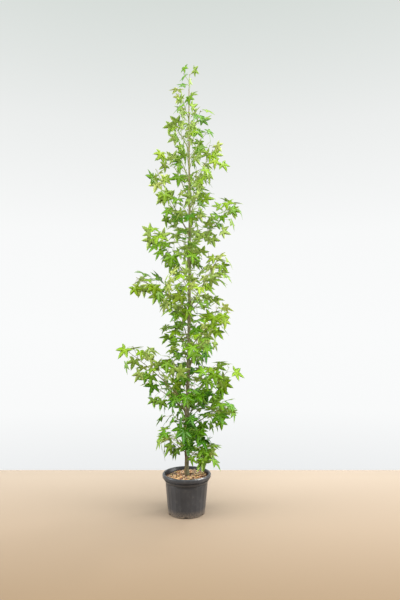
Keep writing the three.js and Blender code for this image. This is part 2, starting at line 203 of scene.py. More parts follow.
def at(curve, t):
    """The point of a curve of three control points at parameter t, which may be an array."""
    t = np.asarray(t, float)[..., None]
    return curve[0] * (1 - t) ** 2 + 2 * curve[1] * t * (1 - t) + curve[2] * t**2


def tangent(curve, t):
    return unit((curve[1] - curve[0]) * (1 - t) + (curve[2] - curve[1]) * t)


def straight(start, end):
    return np.array([start, (start + end) / 2, end])


def curve_length(curve):
    points = at(curve, np.linspace(0, 1, 201))
    return np.linalg.norm(np.diff(points, axis=0), axis=1).sum()


def lines_along(curve, t0, t1, count):
    points = at(curve, np.linspace(t0, t1, count + 1))
    return np.stack([points[:-1], points[1:]], axis=1)


def make_limb(name, seed, sizes, bare_share=0.0):
    foot, heading, reach, rise, arch = sizes
    draw = seeded(seed)
    length = math.hypot(reach, rise)
    side = -1 if draw() < 0.5 else 1
    sway = length * LIMB.sway * side * (0.5 + draw())
    cos, sin = math.cos(math.radians(heading)), math.sin(math.radians(heading))
    local = [(0, 0, 0), (reach * LIMB.bend_at, sway, rise * arch), (reach, 0, rise)]
    curve = np.array([(x * cos - y * sin, x * sin + y * cos, z) for x, y, z in local]) + trunk_point(foot)
    most = LIMB.most_of_trunk * trunk_radius(foot)
    limb = Record(name=name, draw=draw, length=length, curve=curve, foot=foot, heading=heading, twigs=[])
    limb.foot_radius = min(LIMB.foot_radius + LIMB.radius_per_length * length, most)
    limb.bare_share = bare_share
    limb.leaf_start = bare_share
    while from_trunk(at(curve, limb.leaf_start)) < SPACE.trunk:
        limb.leaf_start += LIMB.clear_step
    limb.leafy = lines_along(curve, limb.leaf_start, 1, LIMB.leafy_lines)
    limb.bare = lines_along(curve, 0, limb.leaf_start, LIMB.bare_lines)
    return limb


def limb_radius(limb, t):
    return mix(limb.foot_radius, LIMB.tip_radius, t**LIMB.stoutness)


def all_limbs():
    rows = [(f"leaves_{i + 1:02d}", sizes, LIMB.bare_share) for i, sizes in enumerate(BOUGHS)]
    rows += [(f"low_spray_{i + 1}", sizes, 0.0) for i, sizes in enumerate(LOW_SPRAYS)]
    rows += spiral_rows(SHOOTS)
    rows.append(("crown_tip", (TRUNK.top + CLEAR, 0, *CROWN_TIP), 0.0))
    return [make_limb(name, i + 1, sizes, share) for i, (name, sizes, share) in enumerate(rows)]


def spiral_rows(kinds):
    """Limbs that follow each other up the trunk in a spiral."""
    rows = []
    for name, count, first_heading, foot, reach, rise, arch in kinds:
        for i in range(count):
            z, out, up = (mix(low, high, i / (count - 1)) for low, high in (foot, reach, rise))
            heading = (first_heading + SPIRAL * i) % 360
            rows.append((f"{name}_{i + 1:02d}", (z, heading, out, up, arch), 0.0))
    return rows


# ---- the rule of growth


def distances(points, lines):
    """The distance from each point to each straight line, as a table."""
    start, step = lines[:, 0], lines[:, 1] - lines[:, 0]
    offset = points[:, None] - start
    t = np.clip((offset * step).sum(2) / (step**2).sum(1), 0, 1)
    return np.linalg.norm(offset - t[..., None] * step, axis=2)


class Space:
    """The limbs and twigs that leaves keep clear of, and the share of space of each limb."""

    def __init__(self, limbs):
        self.index = {limb.name: i for i, limb in enumerate(limbs)}
        self.leafy = np.concatenate([limb.leafy for limb in limbs])
        self.bare = np.concatenate([limb.bare for limb in limbs])
        self.twigs = np.zeros((0, 2, 3))

    def add_twig(self, twig):
        self.twigs = np.concatenate([self.twigs, lines_along(twig, 0, 1, 1)])

    def allows(self, points, limb, clearance):
        from_axis = np.hypot(points[:, 0], points[:, 1])
        over_pot = (points[:, 2] < POT.height + SPACE.pot) & (from_axis < POT.lip_radius + SPACE.pot)
        if over_pot.any() or points[:, 2].min() < SPACE.ground or from_trunk(points).min() <= SPACE.trunk:
            return False
        apart = distances(points, self.leafy).reshape(len(points), -1, LIMB.leafy_lines).min(2)
        nearer = apart < apart[:, [self.index[limb.name]]] - SPACE.overlap
        if nearer.any() or apart.min() < clearance or distances(points, self.bare).min() < clearance:
            return False
        return not len(self.twigs) or distances(points, self.twigs).min() > clearance


def across(along):
    """Two directions square to a line: level to its side, and upwards."""
    side = np.cross(along, UP)
    if np.linalg.norm(side) < NEARLY_UPRIGHT:
        side = np.array([1.0, 0.0, 0.0])
    side = unit(side)
    return side, unit(np.cross(side, along))


def turned(vector, axis, angle):
    """A vector turned about an axis, by Rodrigues' formula."""
    cos, sin = math.cos(angle), math.sin(angle)
    return vector * cos + np.cross(axis, vector) * sin + axis * (axis @ vector) * (1 - cos)


def swung(first, second, angle):
    """Two directions square to each other, turned in their plane from the first towards the second."""
    cos, sin = math.cos(angle), math.sin(angle)
    return first * cos + second * sin, second * cos - first * sin


def leaf_on(root, along, turn, size, draw, length_spread=LEAF.length_spread, bends=LEAF.bends):
    side, upwards = across(along)
    petiole, _ = swung(side * LEAF.outward, upwards * LEAF.outward, turn)
    petiole = petiole + along * LEAF.forward * spread_from(*LEAF.forwards, draw)
    petiole = unit(petiole + UP * LEAF.upward * spread_from(*LEAF.upwards, draw))
    palm = root + petiole * (LEAF.petiole + LEAF.petiole_spread * (draw() - 0.5))
    lift = unit(UP - petiole * petiole[2])
    axis, face = swung(petiole, lift, -math.radians(spread_from(*bends, draw)))
    face = turned(face, axis, math.radians(LEAF.roll * (2 * draw() - 1)))
    leaf = Record(root=root, petiole=petiole, palm=palm, axis=axis, face=face, left=np.cross(face, axis))
    leaf.length = size * (1 - length_spread * draw())
    return leaf


def leaf_size(sizes, z):
    return mix(sizes.length, sizes.length_top, (z / TRUNK.top) ** 3)


def leaf_points(leaf, half_blade, cup):
    """Points all over a leaf, by which it is kept clear of everything else."""
    other_half = [(-angle, share) for angle, share in reversed(half_blade)]
    angle, share = np.array([*half_blade, (0, 1), *other_half], float).T
    angle = np.radians(angle)[:, None]
    share = leaf.length * share[:, None]
    rim = leaf.axis * share * np.cos(angle) + leaf.left * share * np.sin(angle)
    rim = leaf.palm + rim - leaf.face * cup * share**2 / leaf.length
    inner, edges = (rim + leaf.palm) / 2, (rim[1:] + rim[:-1]) / 2
    return np.concatenate([[leaf.palm, (leaf.root + leaf.palm) / 2], rim, inner, edges])


class Grown:
    """The leaves grown so far, from which a new one keeps its distance."""

    def __init__(self, palms_apart, apart):
        self.palms_apart, self.apart = palms_apart, apart
        self.palms, self.lengths, self.points = [], [], []

    def clear_of(self, leaf):
        if not self.palms:
            return True
        between = np.linalg.norm(np.array(self.palms) - leaf.palm, axis=1)
        if between.min() < self.palms_apart:
            return False
        near = np.flatnonzero(between <= np.array(self.lengths) + leaf.length + self.apart)
        if not len(near):
            return True
        others = np.concatenate([self.points[i] for i in near])
        return np.linalg.norm(others[:, None] - leaf.points, axis=2).min() > self.apart

    def keep(self, leaf):
        self.palms.append(leaf.palm)
        self.lengths.append(leaf.length)
        self.points.append(leaf.points)


def leaf_sites(curve, t0, limit, limb, space, grown):
    """The source's leaves along one stem or twig, where a leaf that doesn't fit is turned or left out."""
    length = curve_length(curve) * (1 - t0)
    count = min(limit, max(1, whole((length - LEAF.start) / LEAF.spacing) + 1))
    first_turn = 360 * limb.draw()
    sites = []
    for i in range(count):
        first = t0 + (1 - t0) * LEAF.start / length
        t = mix(first, LEAF.last, i / (count - 1)) if count > 1 else LEAF.last
        root = at(curve, t)
        for attempt in range(LEAF.tries):
            turn = math.radians(first_turn + LEAF.turn * i + LEAF.next_try * attempt)
            leaf = leaf_on(root, tangent(curve, t), turn, leaf_size(LEAF, root[2]), limb.draw)
            leaf.points = leaf_points(leaf, HALF_BLADE, LEAF.cup)
            if grown.clear_of(leaf) and space.allows(leaf.points, limb, SPACE.limb):
                grown.keep(leaf)
                sites.append(Record(leaf=leaf, limb=limb, curve=curve, t=t, turn=turn, z=root[2]))
                break
    return sites


def grow_twigs(limb, space):
    count = whole(limb.length * (1 - limb.bare_share) / TWIG.every)
    for i in range(count):
        t = mix(limb.leaf_start, 1, (i + TWIG.first) / (count + TWIG.spare))
        along = tangent(limb.curve, t)
        side, upwards = across(along)
        length = min(max(TWIG.length_share * limb.length, TWIG.shortest), TWIG.longest)
        outward = TWIG.outward * (-1 if i % 2 == 0 else 1)
        direction = unit(along + side * outward + upwards * mix(*TWIG.climb, limb.draw()))
        root = at(limb.curve, t)
        twig = straight(root, root + direction * length)
        if space.allows(at(twig, TWIG.tested), limb, SPACE.limb):
            limb.twigs.append(twig)
            space.add_twig(twig)


def grow_sites(limbs):
    """Grows the skeleton of the source: the twigs of its limbs, and the place of every leaf."""
    space = Space(limbs)
    for limb in limbs:
        grow_twigs(limb, space)
    grown = Grown(LEAF.palms_apart, LEAF.apart)
    sites = []
    for limb in limbs:
        sites += leaf_sites(limb.curve, limb.leaf_start, math.inf, limb, space, grown)
        for twig in limb.twigs:
            sites += leaf_sites(twig, TWIG.bare_share, TWIG.leaf_limit, limb, space, grown)
    return sites


# ---- finer leaves within the same reach


def in_box(points, limb):
    """Whether a leaf stays by the box of the solid that it replaces."""
    if limb.box is None:
        return True
    low, high = (np.array(corner) / MM for corner in limb.box)
    return (points > low - FINE.box).all() and (points < high + FINE.box).all()


def lead_leaf(big, lift, roll, length):
    """A leaf of real size with its tip where the source's larger leaf has it, and its blade lifted."""
    leaf = Record(root=big.root, length=length, shoot=None)
    leaf.axis, face = swung(big.axis, big.face, lift)
    leaf.face = turned(face, leaf.axis, roll)
    leaf.left = np.cross(leaf.face, leaf.axis)
    big_tip = big.palm + big.axis * big.length - big.face * big.length * LEAF.cup
    leaf.palm = big_tip - leaf.axis * length + leaf.face * length * FINE.cup
    leaf.petiole = unit(big.petiole + unit(leaf.palm - leaf.root))
    return leaf


def extra_leaf(site, draw):
    """One more leaf beside a place of the source, now and then on a short side shoot of its own."""
    lowest = site.limb.leaf_start if site.curve is site.limb.curve else TWIG.bare_share
    t = min(1, max(lowest, site.t + FINE.shift * (draw() - 0.5)))
    root, along = at(site.curve, t), tangent(site.curve, t)
    turn = site.turn + 2 * math.pi * draw()
    shoot = None
    if draw() < FINE.shoot_share:
        side, upwards = across(along)
        way = unit(along + side * math.cos(turn) + upwards * math.sin(turn) + UP * FINE.shoot_climb)
        shoot = straight(root, root + way * mix(*FINE.shoot, draw()))
        root, along = shoot[2], way
        turn += 2 * math.pi * draw()
    size = leaf_size(FINE, root[2])
    leaf = leaf_on(root, along, turn, size, draw, FINE.length_spread, FINE.bends)
    leaf.shoot = shoot
    return leaf


def fits(leaf, site, grown, space):
    leaf.points = leaf_points(leaf, FINE_HALF_BLADE, FINE.cup)
    if leaf.shoot is not None:
        leaf.points = np.concatenate([leaf.points, at(leaf.shoot, FINE.shoot_tested)])
    by_itself = in_box(leaf.points, site.limb) and grown.clear_of(leaf)
    return by_itself and space.allows(leaf.points, site.limb, FINE.limb)


def extra_count(site):
    """The crown is fuller near the trunk and low down, and open at the ends of its limbs and at its top."""
    if site.z > FINE.extra_below:
        return 0
    apart = from_trunk(at(site.curve, site.t))
    usual = next(count for limit, count in EXTRAS if apart < limit)
    return usual + sum(more for low, high, more in FULLNESS if low <= site.z < high)


def shown(leaf):
    """How far a leaf reaches out, less some for one that lies level and would be seen edge on."""
    return np.hypot(leaf.points[:, 0], leaf.points[:, 1]).max() - FINE.slant * abs(leaf.face[2])


def best_lead_leaf(site, grown, space, draw):
    """Of the lead leaves that fit, the one that shows best, or else one that lies as the source's does."""
    length = min(site.leaf.length, leaf_size(FINE, site.z) * (1 - FINE.length_spread * draw()))
    choices = []
    for attempt in range(FINE.tries):
        lift = math.radians(FINE.lift * draw() * (attempt > 0))
        roll = math.radians(FINE.lift_roll * (2 * draw() - 1))
        leaf = lead_leaf(site.leaf, lift, roll, length)
        stalk_fits = FINE.stalk[0] < np.linalg.norm(leaf.palm - leaf.root) < FINE.stalk[1]
        if (fits(leaf, site, grown, space) and stalk_fits) or not choices:
            choices.append(leaf)
    return max(choices[1:] or choices, key=shown)


def grow_fine_leaves(sites, space):
    """Each place carries its lead leaf first, and then as many more as fit round it, up to its number."""
    grown = Grown(FINE.palms_apart, FINE.apart)
    draw = seeded(SEED.leaves)
    sprays = [[] for _ in sites]
    for site, spray in zip(sites, sprays):
        if site.leaf is not None:
            leaf = best_lead_leaf(site, grown, space, draw)
            grown.keep(leaf)
            spray.append(leaf)
    wanted = [extra_count(site) for site in sites]
    for turn_of_growth in range(max(wanted)):
        for site, spray, count in zip(sites, sprays, wanted):
            if turn_of_growth >= count:
                continue
            for _ in range(FINE.tries):
                leaf = extra_leaf(site, draw)
                if fits(leaf, site, grown, space):
                    grown.keep(leaf)
                    spray.append(leaf)
                    break
    return sprays


def spur_sites(spurs):
    """Places for leaves on the short shoots of the trunk, which have no leaf of the source."""
    sites = []
    for limb in spurs:
        for i, t in enumerate(SPUR_LEAVES_AT):
            t = max(t, limb.leaf_start)
            turn = math.radians(LEAF.turn * i)
            sites.append(Record(leaf=None, limb=limb, curve=limb.curve, t=t, turn=turn, z=limb.foot))
    return sites


# ---- meshes from arrays


def add_object(name, data):
    made = bpy.data.objects.new(name, data)
    bpy.context.scene.collection.objects.link(made)
    return made


def dress(piece, nodes):
    """Puts a finished piece on the part's one body, in place of nodes of the frame."""
    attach(piece, "root")
    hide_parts(*nodes)


class Heap:
    """Points and triangles of many small closed shapes, gathered into one piece."""

    def __init__(self):
        self.points, self.triangles, self.marks, self.count = [], [], [], 0

    def add(self, points, triangles, marks=0):
        self.points.append(points)
        self.triangles.append(triangles + self.count)
        self.marks.append(np.broadcast_to(marks, len(triangles)))
        self.count += len(points)

    def piece(self, name, materials, slot, nodes):
        """Makes the piece. Each triangle's mark is the number of its material."""
        mesh = bpy.data.meshes.new(name)
        mesh.from_pydata(np.concatenate(self.points) * MM, [], np.concatenate(self.triangles))
        for material in materials:
            mesh.materials.append(material)
        mesh.polygons.foreach_set("material_index", np.concatenate(self.marks).astype(np.int32))
        mesh.shade_smooth()
        dress(add_object(name, mesh), nodes)


def ring_angles(count):
    return 2 * math.pi * np.arange(count) / count


def skin(rings, ends, inside_out=False):
    """A closed shell over a row of rings of points, with one middle point at each end."""
    sides = len(rings[0])
    k = np.arange(sides)
    after = (k + 1) % sides
    last = (len(rings) - 1) * sides
    middle = last + sides
    sheets = []
    for low in range(0, last, sides):
        high = low + sides
        sheets += [(low + k, low + after, high + after), (low + k, high + after, high + k)]
    sheets += [(0 * k + middle, after, k), (0 * k + middle + 1, last + k, last + after)]
    triangles = np.concatenate([np.stack(sheet, 1) for sheet in sheets])
    return np.concatenate([*rings, ends]), triangles[:, ::-1] if inside_out else triangles


def tube(path, radii, sides, relief=None):
    """A closed tube round a path of points. relief(i, angles) is added to the radius of ring i."""
    steps = np.gradient(path, axis=0)
    side, _ = across(unit(steps[0]))
    angles = ring_angles(sides)
    cos, sin = np.cos(angles)[:, None], np.sin(angles)[:, None]
    rings = []
    for i, (point, step) in enumerate(zip(path, steps)):
        along = unit(step)
        side = unit(side - along * (side @ along))
        other = np.cross(along, side)
        radius = radii[i] + (relief(i, angles) if relief else 0 * angles)
        rings.append(point + radius[:, None] * (side * cos + other * sin))
    return skin(rings, [path[0], path[-1]])


# ---- materials


def colour(tone):
    """Blender's linear colour for a display colour of 0 to 255, or for one plain share of white."""
    if isinstance(tone, (int, float)):
        return (tone, tone, tone, 1)
    shares = [min(1, value / 255) for value in tone]
    return (*(s / 12.92 if s <= 0.04045 else ((s + 0.055) / 1.055) ** 2.4 for s in shares), 1)


class Nodes:
    """The shader nodes of a material, or of the world."""

    def __init__(self, owner):
        owner.use_nodes = True
        self.owner, self.tree = owner, owner.node_tree

    def plug(self, socket, value):
        """Gives a socket a value, or links another socket to it."""
        if isinstance(value, bpy.types.NodeSocket):
            self.tree.links.new(value, socket)
        else:
            socket.default_value = value

    def add(self, kind, inputs, **settings):
        """Adds a shader node, with a value or a socket for each of its inputs."""
        made = self.tree.nodes.new("ShaderNode" + kind)
        for key, value in settings.items():
            setattr(made, key, value)
        for key, value in inputs.items():
            self.plug(made.inputs[key], value)
        return made

    def surface(self, socket, value):
        """Sets or links an input of a material's own shader."""
        self.plug(self.tree.nodes["Principled BSDF"].inputs[socket], value)

    def place(self, stretch=(1, 1, 1)):
        """Points of the part in metres, stretched where a pattern is drawn out."""
        spot = self.add("TexCoord", {}).outputs["Object"]
        return self.add("Mapping", {"Vector": spot, "Scale": stretch}).outputs["Vector"]

    def axis(self, letter, space="Object"):
        """How far along an axis a point is."""
        spot = self.add("TexCoord", {}).outputs[space]
        return self.add("SeparateXYZ", {"Vector": spot}).outputs[letter]

    def patches(self, scale, detail=3.0, stretch=(1, 1, 1), roughness=0.55):
        inputs = {"Vector": self.place(stretch), "Scale": scale, "Detail": detail, "Roughness": roughness}
        return self.add("TexNoise", inputs).outputs["Fac"]

    def cells(self, scale, stretch=(1, 1, 1)):
        return self.add("TexVoronoi", {"Vector": self.place(stretch), "Scale": scale}).outputs["Distance"]

    def times(self, first, second, plus=0.0, clamp=False):
        """first * second + plus."""
        inputs = {0: first, 1: second, 2: plus}
        return self.add("Math", inputs, operation="MULTIPLY_ADD", use_clamp=clamp).outputs[0]

    def ramp(self, share, *stops):
        """Tones by a share from 0 to 1. Each stop is a place and a tone."""
        made = self.add("ValToRGB", {"Fac": share})
        elements = made.color_ramp.elements
        while len(elements) < len(stops):
            elements.new(0.5)
        for element, (position, tone) in zip(elements, stops):
            element.position, element.color = position, colour(tone)
        return made.outputs["Color"]

    def blend(self, share, first, second):
        """One colour over another by a share, where the second is a display colour."""
        return self.add("Mix", {0: share, 6: first, 7: colour(second)}, data_type="RGBA").outputs[2]

    def bump(self, height, distance, strength=1.0):
        """Fine relief. The distance is how deep it is, in metres."""
        inputs = {"Height": height, "Distance": distance, "Strength": strength}
        self.surface("Normal", self.add("Bump", inputs).outputs["Normal"])


def finish(name, roughness, specular=0.5):
    made = Nodes(bpy.data.materials.new(name))
    made.surface("Roughness", roughness)
    made.surface("Specular IOR Level", specular)
    return made


def leaf_finish(name, tint, roughness, gloss):
    """A blade with faint mottling and the small swellings between its finest veins."""
    made = finish(name, roughness, gloss)
    dark, light = ([value * gain for value in tint] for gain in (0.9, 1.1))
    made.surface("Base Color", made.ramp(made.patches(60), (0.3, dark), (0.7, light)))
    made.bump(made.patches(420, 2), 0.0004, 0.5)
    return made.owner


# A dark and a light shade, the scale of their patches, roughness and depth of grain in metres.
PLAIN = {
    "stalk_green": ((128, 152, 66), (170, 184, 104), 200, 0.5, 0.0003),
    "stalk_pink": ((168, 128, 92), (190, 164, 112), 200, 0.5, 0.0003),
    "twig_brown": ((108, 104, 58), (140, 138, 82), 90, 0.75, 0.0006),
    "twig_green": ((124, 142, 66), (156, 166, 92), 120, 0.6, 0.0003),
    "bud_brown": ((104, 84, 46), (138, 122, 62), 300, 0.5, 0.0003),
    "mulch_tan": ((222, 178, 120), (246, 214, 162), 130, 0.85, 0.001),
    "mulch_red": ((176, 110, 82), (212, 154, 120), 130, 0.85, 0.001),
    "mulch_dark": ((92, 66, 48), (130, 98, 74), 130, 0.85, 0.001),
    "mulch_grey": ((178, 152, 136), (210, 186, 164), 130, 0.85, 0.001),
    "mulch_olive": ((164, 138, 76), (198, 174, 108), 130, 0.85, 0.001),
}


def plain_finish(name):
    """Small growing or woody things: two near shades, and a fine grain."""
    dark, light, scale, roughness, relief = PLAIN[name]
    made = finish(name, roughness)
    made.surface("Base Color", made.ramp(made.patches(scale), (0.35, dark), (0.65, light)))
    made.bump(made.patches(3 * scale), relief)
    return made.owner


# ---- leaf blades

# Lobes by angle and length, from the left to the right.
LOBES = [(110, 0.64), (55, 0.88), (0, 1.0), (-55, 0.88), (-110, 0.64)]
# Lengths are shares of the middle lobe's. The base is an angle and a radius, and each notch a radius.
BLADE = Record(
    shapes=10, fold=(0.06, 0.24), ripple=0.025, sway=8, lobe_length=(0.93, 1.07), droop=(-0.1, 0.26),
    droop_from=0.42, base=(146, 0.19), notch=0.37, low_notch=0.32, upper_lobes=60, belly_at=0.5, belly=0.235,
    inner=2, outer=7, fork=0.29, tooth=0.02, tooth_end=0.93, vein=(0.009, 0.004), narrowest=0.02,
    half_thickness=0.003, vein_rise=0.005, keel=0.010,
)
# Strips of a half lobe between two of its five lines, and the mark of each.
BLADE_STRIPS = [(1, 0, 0), (2, 1, 2), (4, 3, 1)]


def polar(angle, radius):
    return radius * np.array([math.cos(math.radians(angle)), math.sin(math.radians(angle))])


def blade(seed):
    """One leaf blade whose middle lobe is 1 long, along x. Its left is y, and its upper face looks along z.

    Each half of a lobe is a strip between its midrib and its toothed edge. The blade is thin at its edge,
    and its veins are a pale line above and a ridge below. Marks: 0 upper face, 1 under face, 2 vein.
    """
    draw = seeded(seed)
    fold, ripple = mix(*BLADE.fold, draw()), BLADE.ripple * draw()
    lobes = []
    for angle, length in LOBES:
        lobes.append((angle + BLADE.sway * (draw() - 0.5), length * mix(*BLADE.lobe_length, draw())))
    lobes[2] = (lobes[2][0], 1.0)
    droops = [mix(*BLADE.droop, draw()) for _ in lobes]
    notches = [BLADE.base]
    for (left_angle, _), (right_angle, _) in zip(lobes, lobes[1:]):
        middle = (left_angle + right_angle) / 2
        notches.append((middle, BLADE.notch if abs(middle) < BLADE.upper_lobes else BLADE.low_notch))
    notches.append((-BLADE.base[0], BLADE.base[1]))
    index, points, faces, marks = {}, [], [], []

    def vertex(flat, layer, height):
        key = (*np.round(flat, 4), layer)
        if key not in index:
            index[key] = len(points)
            points.append((*flat, height))
        return index[key]

    def lie(flat, angle, droop):
        """How high the blade lies at a flat point of a lobe."""
        r = np.linalg.norm(flat)
        off = abs(polar(angle, 1) @ np.array([flat[1], -flat[0]]))
        wave = ripple * math.sin(9 * r + 20 * droop) * min(1, 6 * off)
        return fold * off + wave - FINE.cup * r**2 - droop * max(0.0, r - BLADE.droop_from) ** 2

    for (angle, length), droop, pair in zip(lobes, droops, zip(notches, notches[1:])):
        tip = polar(angle, length)
        for hand, (notch_angle, notch_radius) in zip((1, -1), pair):
            notch = polar(notch_angle, notch_radius)
            out = hand * polar(angle + 90, length)
            belly = polar(angle, BLADE.belly_at * length) + BLADE.belly * out
            columns = []
            for i in range(BLADE.inner + BLADE.outer + 1):
                if i <= BLADE.inner:
                    edge, middle = notch * i / BLADE.inner, tip * BLADE.fork * i / BLADE.inner
                    margin = i == BLADE.inner or abs(notch_angle) == BLADE.base[0]
                else:
                    s = (i - BLADE.inner) / BLADE.outer
                    edge = notch * (1 - s) ** 2 + 2 * belly * s * (1 - s) + tip * s**2
                    way = 1 if (i - BLADE.inner) % 2 else -0.5
                    edge = edge + BLADE.tooth * out * way * (s < BLADE.tooth_end)
                    middle, margin = tip * mix(BLADE.fork, 1, s), True
                gap = np.linalg.norm(edge - middle)
                vein = mix(*BLADE.vein, i / (BLADE.inner + BLADE.outer))
                share = vein / gap if gap > BLADE.narrowest else 0
                top, low = lie(middle, angle, droop), lie(edge, angle, droop)
                over = vertex(edge, 0 if margin else 1, low + (0 if margin else BLADE.half_thickness))
                under = over if margin else vertex(edge, 2, low - BLADE.half_thickness)
                centre, keel = vertex(middle, 1, top + BLADE.vein_rise), vertex(middle, 2, top - BLADE.keel)
                side = vertex(mix(middle, edge, share), 1, mix(top, low, share) + BLADE.half_thickness)
                columns.append((over, side, centre, keel, under))
            for first, second in zip(columns, columns[1:]):
                for a, b, mark in BLADE_STRIPS:
                    for triangle in ((first[a], second[a], second[b]), (first[a], second[b], first[b])):
                        if len(set(triangle)) == 3:
                            faces.append(triangle[::hand])
                            marks.append(mark)
    return np.array(points), np.array(faces), np.array(marks)


# ---- foliage

# Upper and under faces of the leaves, from old growth to new, and the turned ones. The under faces are paler
# in their own colour and lighter still as painted light for light shining through the blade.
LEAF_TINTS = {
    "deep": ((58, 112, 0), (108, 152, 50)),
    "mid": ((80, 130, 0), (130, 168, 62)),
    "fresh": ((98, 142, 4), (152, 181, 82)),
    "lime": ((116, 151, 8), (168, 193, 102)),
    "pale": ((140, 168, 38), (186, 202, 110)),
    "turned": ((190, 184, 60), (200, 192, 96)),
}
TINT_LIMITS = [("deep", 0.2), ("mid", 0.4), ("fresh", 0.6), ("lime", 0.82), ("pale", math.inf)]
TURNED = Record(share=0.04, low=640, high=830)
# What makes a spray fresh. Each pair of heights is where that starts and how much further it is full.
FRESH = Record(
    least=0.02, by_height=0.3, heights=(850, 500), by_top=0.06, top=(2000, 900), outward=0.24, reach=260,
    by_limb=0.3, chance=0.44,
)
# Limbs that the photo shows fresher.
FRESHER = {
    "leaves_09": 0.12,
    "leaves_10": 0.3,
    "leaves_11": 0.12,
    "leaves_12": 0.2,
    "leaves_13": 0.4,
    "low_spray_1": 0.2,
    "low_spray_2": 0.2,
    "top_shoot_01": 0.3,
}
VEIN = Record(pale=(220, 226, 160), share=0.42)
LEAF_WIDTHS = (0.92, 1.08)
BLUSH_SHARE = 0.3
LEAVES_PER_PIECE = 300
STALK = Record(lead=0.6, sunk=1.5, radius=(1.0, 0.7), rings=7, sides=5)


def share_of(value, start, reach):
    """How far past a start a value is, as a share of a reach, from 0 to 1."""
    return min(1, max(0, (value - start) / reach))


def spray_tint(site, mood, draw):
    """New growth at the top and at the ends of shoots is lighter. A few low sprays have turned."""
    out = min(1, from_trunk(at(site.curve, site.t)) / FRESH.reach)
    up, top = share_of(site.z, *FRESH.heights), share_of(site.z, *FRESH.top)
    fresh = FRESH.by_height * up + FRESH.by_top * top + FRESH.outward * out + FRESH.by_limb * mood
    fresh += FRESH.chance * (draw() - 0.5) + FRESH.least + FRESHER.get(site.limb.name, 0)
    if draw() < TURNED.share and TURNED.low < site.z < TURNED.high:
        return "turned"
    return next(name for name, limit in TINT_LIMITS if fresh < limit)


def leaf_stalk(leaf, start):
    """A slim stalk that leaves the spur along its own direction and arches over to the blade."""
    reach = np.linalg.norm(leaf.palm - start)
    curve = np.array([start, start + leaf.petiole * STALK.lead * reach, leaf.palm + leaf.axis * STALK.sunk])
    path = at(curve, np.linspace(0, 1, STALK.rings))
    return tube(path, np.linspace(*STALK.radius, STALK.rings), STALK.sides)


def make_leaves(sites, sprays, mass_nodes):
    blades = [blade(SEED.blades + i) for i in range(BLADE.shapes)]
    leaves = {name: [] for name in LEAF_TINTS}
    stalks = Heap()
    draw = seeded(SEED.tints)
    moods = {site.limb.name: 0 for site in sites}
    moods = {name: draw() for name in moods}
    for site, spray in zip(sites, sprays):
        tint = spray_tint(site, moods[site.limb.name], draw)
        blush = int(draw() < BLUSH_SHARE)
        for leaf in spray:
            points, triangles, marks = blades[int(draw() * BLADE.shapes)]
            turn = np.array([leaf.axis, leaf.left * mix(*LEAF_WIDTHS, draw()), leaf.face])
            leaves[tint].append((leaf.palm + points @ turn * leaf.length, triangles, marks))
            stalks.add(*leaf_stalk(leaf, leaf.root + leaf.petiole * FINE.spur), blush)
    for name, (upper, under) in LEAF_TINTS.items():
        vein = [mix(value, pale, VEIN.share) for value, pale in zip(upper, VEIN.pale)]
        # The under tints are partly painted light, for light shining through the blade.
        looks = [("upper", upper, 0.38, 0.24), ("under", under, 0.6, 0.2), ("vein", vein, 0.5, 0.4)]
        materials = [leaf_finish(f"leaf_{name}_{part}", *look) for part, *look in looks]
        for first in range(0, len(leaves[name]), LEAVES_PER_PIECE):
            heap = Heap()
            for row in leaves[name][first : first + LEAVES_PER_PIECE]:
                heap.add(*row)
            heap.piece(f"leaves_{name}_{first // LEAVES_PER_PIECE + 1}", materials, "foliage", mass_nodes)
    tints = [plain_finish("stalk_green"), plain_finish("stalk_pink")]
    stalks.piece("leaf_stalks", tints, "foliage", mass_nodes)


# ---- twigs and buds

YOUNG_HEIGHT = 1500
STEM = Record(ring_every=14, fewest_rings=6, thinning=0.7, sides=8, crook=0.25, sunk=0.01)
TWIG_STEM = Record(tip=1.3, rings=9, sides=6, crook=0.5)
SHOOT_STEM = Record(radii=(1.5, 1.15), rings=6, sides=6, crook=0.5)
SPUR_STEM = Record(radii=(1.5, 1.45, 1.5, 1.75, 1.3), over=1.5, sides=6)
# A bud's rings as shares of its length and radius, and those two on limbs, twigs and shoots.
BUD = Record(along=(-0.1, 0.0, 0.25, 0.55, 0.8, 1.0), width=(0.4, 0.6, 1.0, 0.85, 0.45, 0.06), sides=7)
LIMB_BUD, TWIG_BUD, SHOOT_BUD = (11, 2.9), (9, 2.1), (7, 1.8)


def crooked(path, radii, draw, share):
    """A living twig isn't quite straight: it bends a little at each bud."""
    side, upwards = across(unit(path[-1] - path[0]))
    path = path.copy()
    for i in range(1, len(path) - 1):
        way, _ = swung(side, upwards, 2 * math.pi * draw())
        path[i] += share * radii[i] * way
    return path


def bud(point, along, length, radius):
    """A small pointed bud on the end of a twig."""
    path = point + along * (np.array(BUD.along) * length)[:, None]
    return tube(path, np.array(BUD.width) * radius, BUD.sides)


